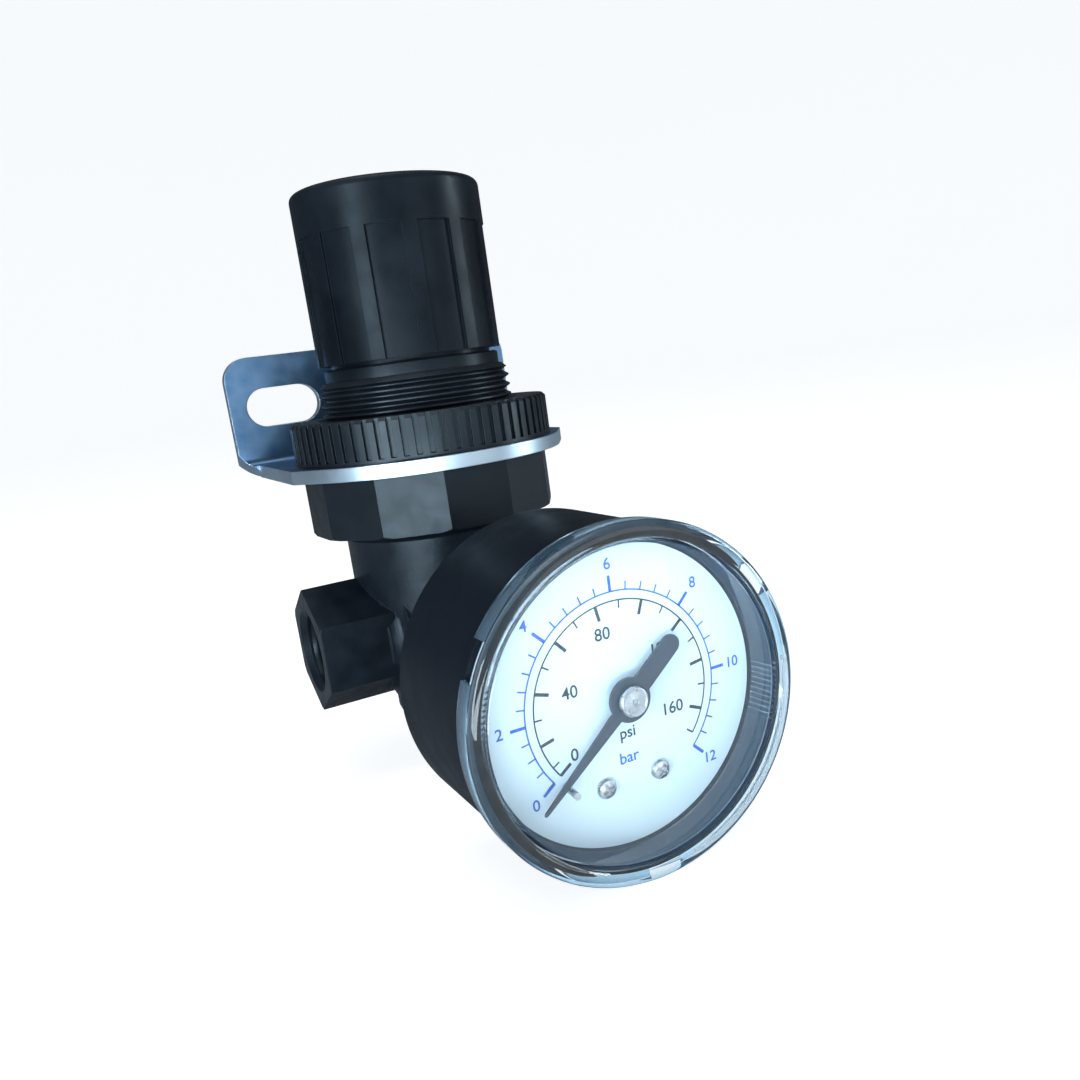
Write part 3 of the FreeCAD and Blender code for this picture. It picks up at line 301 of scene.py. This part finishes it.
def clear_plastic(name):
    """Clear moulded plastic, pale and cloudy in its rim and outer skirt, with a cloudy dark blue inner skirt
    that is painted shade standing for the dark case behind it; light passes to the dial.
    """
    s = Shader(name)
    place = s.nodes.new("ShaderNodeSeparateXYZ")
    s.link(s.place, place.inputs["Vector"])
    across = place.outputs["X"]
    height = s.math("SUBTRACT", place.outputs["Z"], GAUGE_Z)
    across_squared = s.math("MULTIPLY", across, across)
    height_squared = s.math("MULTIPLY", height, height)
    radius = s.math("SQRT", s.math("ADD", across_squared, height_squared), 0)
    outside = s.ramp(radius, 0, 1, 20.3 * MM, 20.8 * MM)
    behind = s.ramp(place.outputs["Y"], 0, 1, WINDOW_FRONT_Y + 1.3 * MM, WINDOW_FRONT_Y + 1.9 * MM)
    outer_skirt = s.math("MULTIPLY", outside, behind)
    flow = s.ramp(s.noise(5 * MM, 3.0, 0.5, s.stretched((1.0, 0.2, 1.0))), 0.3, 0.7, 0.8, 1.0)
    inner_skirt = s.math("SUBTRACT", behind, outer_skirt)
    # The inner skirt's 0.86 weight makes it a near-opaque dark sheet: painted shade of the case behind it.
    haze_and_shade_weight = s.math("ADD", s.math("MULTIPLY", outer_skirt, 0.36), s.math("MULTIPLY", inner_skirt, 0.86))
    haze_and_shade_weight = s.math("ADD", haze_and_shade_weight, s.math("MULTIPLY", outside, 0.06))
    # Dark blue on the inner skirt is painted shade; the pale blue on the outer skirt is the plastic's own
    # cloudiness.
    haze_and_shade_colour = s.mix(inner_skirt, (0.36, 0.56, 0.74), (0.060, 0.125, 0.22))
    scuffs = s.ramp(s.noise(0.35 * MM, 5.0, 0.7), 0.012, 0.05, 0.62, 0.8)
    s.set(Transmission_Weight=1.0, IOR=1.45, Specular_IOR_Level=0.4)
    tint = s.mix(outside, (0.95, 0.99, 1.0), (0.50, 0.74, 0.92))
    s.finish(tint, scuffs, s.bump(s.noise(6 * MM, 3.0), 0.02 * MM, 0.35))
    haze_and_shade_bsdf = s.nodes.new("ShaderNodeBsdfTranslucent")
    skin = s.nodes.new("ShaderNodeBsdfDiffuse")
    for shade in (haze_and_shade_bsdf, skin):
        s.link(haze_and_shade_colour, shade.inputs["Color"])
    body = s.nodes.new("ShaderNodeMixShader")
    s.link(haze_and_shade_bsdf.outputs["BSDF"], body.inputs[1])
    s.link(skin.outputs["BSDF"], body.inputs[2])
    moulded = s.nodes.new("ShaderNodeMixShader")
    s.link(s.math("MULTIPLY", haze_and_shade_weight, flow), moulded.inputs["Fac"])
    s.link(s.bsdf.outputs["BSDF"], moulded.inputs[1])
    s.link(body.outputs["Shader"], moulded.inputs[2])
    path = s.nodes.new("ShaderNodeLightPath")
    through = s.nodes.new("ShaderNodeBsdfTransparent")
    through.inputs["Color"].default_value = (0.95, 0.98, 1.0, 1.0)
    shadow = s.nodes.new("ShaderNodeMixShader")
    in_pane = s.ramp(radius, 1, 0, 18.6 * MM, 18.9 * MM)
    s.link(s.math("MULTIPLY", path.outputs["Is Shadow Ray"], in_pane), shadow.inputs["Fac"])
    s.link(moulded.outputs["Shader"], shadow.inputs[1])
    s.link(through.outputs["BSDF"], shadow.inputs[2])
    s.link(shadow.outputs["Shader"], s.output.inputs["Surface"])
    return s.material


def dial_enamel(name):
    """White printed plate, very slightly mottled."""
    s = Shader(name)
    mottle = s.ramp(s.noise(7 * MM, 4.0), 0, 1, 0.3, 0.7)
    colour = s.mix(mottle, (0.70, 0.83, 0.91), (0.74, 0.86, 0.93))
    specks = s.ramp(s.noise(0.5 * MM, 2.0), 0, 0.22, 0.73, 0.8)
    colour = s.mix(specks, colour, (0.40, 0.46, 0.52))
    rough = s.ramp(s.noise(2 * MM, 3.0), 0.34, 0.46)
    return s.finish(colour, rough, s.bump(s.noise(0.3 * MM, 2.0), 0.004 * MM, 0.4))


def printing_ink(name, thin, thick):
    """Ink with uneven cover and a faint raised edge."""
    s = Shader(name)
    cover = s.ramp(s.noise(0.22 * MM, 3.0), 0, 1, 0.3, 0.75)
    colour = s.mix(cover, thick, thin)
    rough = s.ramp(s.noise(0.4 * MM, 2.0), 0.35, 0.6)
    return s.finish(colour, rough, s.bump(s.noise(0.15 * MM, 2.0), 0.003 * MM, 0.4))


def pointer_enamel(name):
    s = Shader(name)
    rounded = s.rounded(0.06 * MM)
    mottle = s.ramp(s.noise(1.6 * MM, 4.0), 0, 1, 0.3, 0.7)
    colour = s.mix(mottle, (0.014, 0.019, 0.028), (0.024, 0.031, 0.043))
    rough = s.ramp(s.noise(0.8 * MM, 3.0), 0.26, 0.44)
    return s.finish(colour, rough, s.bump(s.noise(0.3 * MM, 2.0), 0.004 * MM, 0.4, rounded))


MATERIALS = {
    "black_plastic": moulded_plastic("black_plastic", (0.0035, 0.0050, 0.0080), (0.0085, 0.0115, 0.0165)),
    "black_coat": cast_coating("black_coat", (0.006, 0.009, 0.014), (0.013, 0.018, 0.027)),
    "case_black": case_paint("case_black"),
    "zinc_steel": zinc_plate("zinc_steel"),
    "brass": turned_metal("brass", (0.42, 0.27, 0.09), (0.80, 0.60, 0.28)),
    "steel": turned_metal("steel", (0.42, 0.44, 0.46), (0.74, 0.75, 0.76)),
    "spring_steel": turned_metal("spring_steel", (0.16, 0.17, 0.19), (0.42, 0.43, 0.45), (0.30, 0.46), 2),
    "aluminium": turned_metal("aluminium", (0.56, 0.57, 0.58), (0.82, 0.83, 0.84), (0.28, 0.42), 2),
    "rubber": moulded_rubber("rubber"),
    "clear": clear_plastic("clear"),
    "dial_white": dial_enamel("dial_white"),
    "pointer_black": pointer_enamel("pointer_black"),
}
BLUE_INK = printing_ink("blue_ink", (0.006, 0.13, 0.66), (0.002, 0.07, 0.52))
BLACK_INK = printing_ink("black_ink", (0.010, 0.014, 0.022), (0.004, 0.006, 0.010))


def dress_cad_nodes():
    """Gives every CAD node the material of its slot in the record."""
    slots = {part["node"]: part["material_slot"] for part in frame["record"]["subparts"]}
    for name, node in frame["nodes"].items():
        node.data.materials.clear()
        node.data.materials.append(MATERIALS[slots[name]])


# ---------------------------------------------------------------- mesh helpers
def new_piece(name, vertices, faces, material, smooth=True):
    mesh = bpy.data.meshes.new(name)
    mesh.from_pydata(vertices, [], faces)
    mesh.update()
    piece = bpy.data.objects.new(name, mesh)
    bpy.context.scene.collection.objects.link(piece)
    mesh.materials.append(material)
    for polygon in mesh.polygons:
        polygon.use_smooth = smooth
    return piece


def on_dial(x, z, lift=0.0):
    """A point of the dial's face from its place in millimetres about the centre."""
    return Vector((x * MM, DIAL_FACE_Y - lift * MM, GAUGE_Z + z * MM))


def join(name, pieces):
    """Joins objects into one, keeping the first one's material."""
    bpy.ops.object.select_all(action="DESELECT")
    for piece in pieces:
        piece.select_set(True)
    bpy.context.view_layer.objects.active = pieces[0]
    bpy.ops.object.join()
    joined = bpy.context.view_layer.objects.active
    joined.name = name
    return joined


# ---------------------------------------------------------------- dial printing
DIAL_START = 225.0          # degrees, at zero pressure
DEGREES_PER_BAR = 22.5
PSI_PER_BAR = 14.5038
ZERO_MARK = 0.37            # bar; the scales start here, where the pointer rests
PRINT_LIFT = 0.02           # mm over the dial's face
BLUE_ARC_R = 13.03
BAR_LABEL_R = 16.35
BAR_LABEL_HEIGHT = 1.42
BLACK_ARC_R = 11.89
ARC_WIDTH = 0.19
LETTER_SWELL = 0.028        # mm, thickens the lettering's strokes


def bar_angle(bar):
    return DIAL_START - DEGREES_PER_BAR * bar


def printed_arc(radius, width, start, end, steps=180):
    inner, outer = radius - width / 2, radius + width / 2
    vertices, faces = [], []
    for i in range(steps + 1):
        angle = math.radians(start + (end - start) * i / steps)
        for r in (inner, outer):
            vertices.append(on_dial(r * math.cos(angle), r * math.sin(angle), PRINT_LIFT))
    for i in range(steps):
        faces.append((2 * i, 2 * i + 2, 2 * i + 3, 2 * i + 1))
    return vertices, faces


def printed_tick(degrees, from_r, to_r, width, sideways=0.0):
    angle = math.radians(degrees)
    along = Vector((math.cos(angle), math.sin(angle)))
    across = Vector((-along.y, along.x))
    corners = []
    for r, side in ((from_r, -0.5), (to_r, -0.5), (to_r, 0.5), (from_r, 0.5)):
        corner = along * r + across * (width * side + sideways)
        corners.append(on_dial(corner.x, corner.y, PRINT_LIFT))
    return corners, [(0, 1, 2, 3)]


def printed_text(words, x, z, height, material):
    """Flat lettering centred on a place of the dial."""
    curve = bpy.data.curves.new("label_" + words, "FONT")
    curve.body = words
    curve.size = height * MM / 0.72
    curve.align_x = "CENTER"
    curve.align_y = "CENTER"
    curve.resolution_u = 6
    curve.offset = LETTER_SWELL * MM
    label = bpy.data.objects.new("label_" + words, curve)
    bpy.context.scene.collection.objects.link(label)
    label.rotation_euler = (math.radians(90), 0, 0)
    label.location = on_dial(x, z, PRINT_LIFT)
    bpy.context.view_layer.update()
    mesh = bpy.data.meshes.new_from_object(label)
    mesh.transform(label.matrix_world)
    bpy.data.objects.remove(label)
    piece = bpy.data.objects.new("label_" + words, mesh)
    bpy.context.scene.collection.objects.link(piece)
    mesh.materials.clear()
    mesh.materials.append(material)
    return piece


def shapes_to_piece(name, shapes, material):
    vertices, faces = [], []
    for shape_vertices, shape_faces in shapes:
        first = len(vertices)
        vertices += shape_vertices
        faces += [tuple(first + i for i in face) for face in shape_faces]
    return new_piece(name, vertices, faces, material, smooth=False)


def print_bar_scale():
    """Blue scale: ticks outside the arc every 0.4, thick ones and numbers every 2."""
    shapes = [printed_arc(BLUE_ARC_R, ARC_WIDTH, bar_angle(ZERO_MARK), bar_angle(12))]
    for i in range(31):
        bar = max(0.4 * i, ZERO_MARK)
        if i % 5:
            shapes.append(printed_tick(bar_angle(bar), BLUE_ARC_R, BLUE_ARC_R + 1.05, 0.20))
        else:
            shapes.append(printed_tick(bar_angle(bar), BLUE_ARC_R, BLUE_ARC_R + 1.95, 0.40))
    scale = shapes_to_piece("bar_scale", shapes, BLUE_INK)
    labels = []
    for bar in range(0, 14, 2):
        angle = math.radians(bar_angle(max(bar, ZERO_MARK)))
        x, z = BAR_LABEL_R * math.cos(angle), BAR_LABEL_R * math.sin(angle)
        labels.append(printed_text(str(bar), x, z, BAR_LABEL_HEIGHT, BLUE_INK))
    labels.append(printed_text("bar", -0.2, -7.75, 1.5, BLUE_INK))
    return join("bar_scale", [scale] + labels)


def print_psi_scale():
    """Black scale: ticks inside the arc every 10, thick ones every 20, numbers every 40."""
    last = 170
    shapes = [printed_arc(BLACK_ARC_R, ARC_WIDTH, bar_angle(ZERO_MARK), bar_angle(last / PSI_PER_BAR))]
    for psi in range(0, last + 1, 10):
        angle = bar_angle(max(psi / PSI_PER_BAR, ZERO_MARK))
        thick = psi % 20 == 0
        reach, width = (1.85, 0.42) if thick else (1.0, 0.22)
        shapes.append(printed_tick(angle, BLACK_ARC_R - reach, BLACK_ARC_R, width))
    scale = shapes_to_piece("psi_scale", shapes, BLACK_INK)
    places = {0: (-7.4, -5.2), 40: (-6.95, 2.4), 80: (-1.75, 8.2), 120: (5.9, 4.5), 160: (6.7, -3.4)}
    labels = [printed_text(str(psi), x, z, 1.55, BLACK_INK) for psi, (x, z) in places.items()]
    labels.append(printed_text("psi", 0.0, -4.6, 1.5, BLACK_INK))
    return join("psi_scale", [scale] + labels)


# ---------------------------------------------------------------- gauge window and cap
def lathe(name, angles, profile_at, front_y, material, sharp=30):
    """A closed shape turned about the gauge's axis; depth is counted back from front_y."""
    vertices, faces = [], []
    for angle in angles:
        turn = math.radians(angle)
        for radius, depth in profile_at(angle):
            x, z = radius * math.cos(turn), radius * math.sin(turn)
            vertices.append((x * MM, front_y + depth * MM, GAUGE_Z + z * MM))
    width, rows = len(profile_at(0)), len(angles)
    for row in range(rows):
        following = (row + 1) % rows
        for j in range(width):
            k = (j + 1) % width
            here, there = row * width, following * width
            faces.append((here + j, there + j, there + k, here + k))
    piece = new_piece(name, vertices, faces, material)
    piece.data.set_sharp_from_angle(angle=math.radians(sharp))
    return piece


NOTCHES = [(151.9 + 120 * i) % 360 for i in range(3)]
NOTCH_HALF = 6.35           # degrees
SERRATIONS = [(158, 192), (338, 360)]
SERRATION_PITCH = 2.0       # degrees


def in_notch(angle):
    return any(abs((angle - middle + 180) % 360 - 180) < NOTCH_HALF for middle in NOTCHES)


def window_profile(angle):
    """Rim, pane and two skirts; a notch shortens the outer skirt, serrations mark the inner."""
    skirt_end = 1.6 if in_notch(angle) else 4.0
    bite = 0.0
    if any(low <= angle <= high for low, high in SERRATIONS):
        bite = 0.26 * abs(math.sin(math.pi * angle / SERRATION_PITCH))
    return [
        (20.80, skirt_end), (21.10, skirt_end), (21.34, skirt_end - 0.08), (21.40, skirt_end - 0.3),
        (21.40, 1.15), (21.33, 0.75), (21.12, 0.38), (20.80, 0.14), (20.40, 0.03), (20.05, 0.0),
        (19.80, 0.04), (19.58, 0.18), (19.46, 0.40), (PANE_R, 0.50), (0.001, 0.50),
        (0.001, 1.60), (18.60, 1.60), (18.88, 1.68), (18.95, 1.90), (18.95, 5.15),
        (19.02, 5.28), (19.10, 5.30),
        (19.42 - bite, 5.30), (19.50 - bite, 5.15), (19.50 - bite, 1.62), (19.62, 1.50),
        (20.70, 1.50), (20.80, 1.62),
    ]


def make_window():
    angles = [0.5 * i for i in range(720)]
    for middle in NOTCHES:
        for side in (-1, 1):
            edge = middle + side * NOTCH_HALF
            angles += [(edge - 0.02) % 360, (edge + 0.02) % 360]
    return lathe("window", sorted(set(angles)), window_profile, WINDOW_FRONT_Y, MATERIALS["clear"])


def make_pointer_cap():
    """A turned cap with a rolled rim and a small sunk centre."""
    low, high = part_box("pointer_cap")
    radius = (high.x - low.x) / 2 / MM
    thick = (high.y - low.y) / MM
    profile = [
        (0.001, thick), (radius - 0.10, thick), (radius, thick - 0.08), (radius, 0.22), (radius - 0.07, 0.07),
        (radius - 0.20, 0.0), (radius - 0.34, 0.03), (radius - 0.42, 0.10), (0.62, 0.07), (0.48, 0.0),
        (0.40, 0.04), (0.36, 0.28), (0.16, 0.30), (0.13, 0.16), (0.001, 0.14),
    ]
    angles = [3 * i for i in range(120)]
    return lathe("cap", angles, lambda angle: profile, low.y, MATERIALS["steel"])


# ---------------------------------------------------------------- screw threads
def thread_ridge(name, radius, depth, pitch, low, high, material, inward=False):
    """A helical ridge about the origin's Z, tapering away at both ends."""
    steps_per_turn = 96
    turns = (high - low - pitch) / pitch
    count = int(turns * steps_per_turn)
    sign = -1 if inward else 1
    profile = ((-0.48, 0.0), (-0.16, 0.85), (-0.07, 1.0), (0.07, 1.0), (0.16, 0.85), (0.48, 0.0))
    vertices, faces = [], []
    for i in range(count + 1):
        angle = math.radians(360 / steps_per_turn * i)
        lift = pitch * i / steps_per_turn
        ease = min(1.0, 4 * i / steps_per_turn, 4 * (count - i) / steps_per_turn)
        for along, out in profile:
            r = radius + sign * depth * out * ease
            z = low + pitch / 2 + lift + pitch * along
            vertices.append((r * math.cos(angle), r * math.sin(angle), z))
    width = len(profile)
    for i in range(count):
        for j in range(width - 1):
            a = i * width + j
            faces.append((a, a + width, a + width + 1, a + 1))
    return new_piece(name, vertices, faces, material)


def port_threads():
    """Cut threads inside the two pipe ports."""
    pieces = []
    for side, name in ((-1, "inlet_thread"), (1, "outlet_thread")):
        low, high = 12.4 * MM, 22.4 * MM
        sizes = (5.715 * MM, 0.42 * MM, 1.34 * MM, low, high)
        piece = thread_ridge(name, *sizes, MATERIALS["black_coat"], inward=True)
        turn = Matrix.Rotation(math.radians(90 * side), 4, "Y")
        piece.data.transform(Matrix.Translation((0, AXIS_Y, GAUGE_Z)) @ turn)
        pieces.append(piece)
    return pieces


# ---------------------------------------------------------------- stage
def area_light(name, place, target, size, power, colour=(1, 1, 1), size_y=None):
    light = bpy.data.lights.new(name, "AREA")
    light.shape = "RECTANGLE"
    light.size = size
    light.size_y = size_y or size
    light.energy = power
    light.color = colour
    lamp = bpy.data.objects.new(name, light)
    bpy.context.scene.collection.objects.link(lamp)
    lamp.location = place
    lamp.rotation_euler = (Vector(target) - Vector(place)).to_track_quat("-Z", "Y").to_euler()
    return lamp


PAPER_GLOW = 0.86


def make_floor(height):
    """A pale round studio floor that curves up into a wall far away on every side."""
    flat_r, bend_r, wall_height, segments = 2.0, 1.0, 3.0, 96
    profile = [(0.0, 0.0), (0.5, 0.0), (flat_r, 0.0)]
    for i in range(1, 17):
        angle = math.radians(90 * i / 16)
        profile.append((flat_r + bend_r * math.sin(angle), bend_r * (1 - math.cos(angle))))
    profile.append((flat_r + bend_r, wall_height))
    vertices, faces = [], []
    for radius, z in profile:
        for i in range(segments):
            angle = 2 * math.pi * i / segments
            vertices.append((radius * math.cos(angle), radius * math.sin(angle), height + z))
    for row in range(len(profile) - 1):
        for i in range(segments):
            a, b = row * segments + i, row * segments + (i + 1) % segments
            faces.append((a, b, b + segments, a + segments))
    floor = new_piece("floor", vertices, faces, studio_paper())
    floor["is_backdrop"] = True


def studio_paper():
    """Matt paper that shows pale behind the object and lights it more softly than it looks."""
    s = Shader("studio_paper")
    colour = s.mix(s.ramp(s.noise(0.3, 3.0), 0, 1), (0.52, 0.53, 0.54), (0.55, 0.56, 0.57))
    s.set(Roughness=0.9, Emission_Color=(0.97, 0.985, 1.0, 1.0))
    path = s.nodes.new("ShaderNodeLightPath")
    seen = s.math("MAXIMUM", path.outputs["Is Camera Ray"], path.outputs["Is Transmission Ray"])
    s.link(s.math("MULTIPLY", seen, PAPER_GLOW), s.bsdf.inputs["Emission Strength"])
    dimmed = s.mix(seen, (0.42, 0.46, 0.50), colour)
    return s.finish(dimmed, None, s.bump(s.noise(1 * MM), 0.02 * MM))


def make_world():
    bpy.context.scene.view_settings.view_transform = "Standard"
    world = bpy.data.worlds.new("studio")
    bpy.context.scene.world = world
    world.use_nodes = True
    background = world.node_tree.nodes["Background"]
    background.inputs["Color"].default_value = (0.93, 0.97, 1.0, 1.0)
    background.inputs["Strength"].default_value = 0.38


CAMERA_ROLL = 7.4           # degrees


def make_camera():
    camera_data = bpy.data.cameras.new("camera")
    camera_data.sensor_width = 36
    camera_data.lens = 33.18
    camera_data.shift_x = -0.0515
    camera_data.shift_y = 0.0170
    camera_data.clip_start = 0.005
    camera = bpy.data.objects.new("camera", camera_data)
    bpy.context.scene.collection.objects.link(camera)
    camera.location = (-0.0525, -0.1778, 0.0025)
    view = Vector((0.453, 0.868, -0.204))
    level = view.to_track_quat("-Z", "Y")
    roll = Quaternion(view.normalized(), math.radians(CAMERA_ROLL))
    camera.rotation_euler = (roll @ level).to_euler()
    bpy.context.scene.camera = camera


def make_lights():
    middle = (0.0, AXIS_Y, GAUGE_Z * 0.5)
    area_light("left_box", (-0.40, -0.28, 0.02), middle, 0.14, 1.5, (0.84, 0.94, 1.0), 0.24)
    area_light("right_strip", (0.40, -0.20, 0.08), middle, 0.05, 0.7, (0.86, 0.95, 1.0), 0.25)
    area_light("top_box", (-0.10, -0.10, 0.60), middle, 0.40, 1.0, (0.95, 0.98, 1.0))
    front_box = area_light("front_box", (0.16, -0.50, 0.04), middle, 0.30, 0.35, (0.92, 0.98, 1.0))
    card_place, card_target = (-0.17, -0.36, cad_box[0][2]), (-0.17, -0.36, 1.0)
    table = area_light("table_card", card_place, card_target, 0.26, 4.2, (0.80, 0.92, 1.0), 0.40)
    for lamp in (front_box, table):
        lamp.visible_camera = False


# ---------------------------------------------------------------- build
dress_cad_nodes()
for scale in (print_bar_scale(), print_psi_scale()):
    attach(scale, "regulator")
window = make_window()
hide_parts("gauge_window")
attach(window, "regulator")
cap = make_pointer_cap()
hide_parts("pointer_cap")
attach(cap, "pointer")
for thread in port_threads():
    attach(thread, "regulator")

make_floor(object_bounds()[0][2] - 0.0005)
make_world()
make_lights()
make_camera()
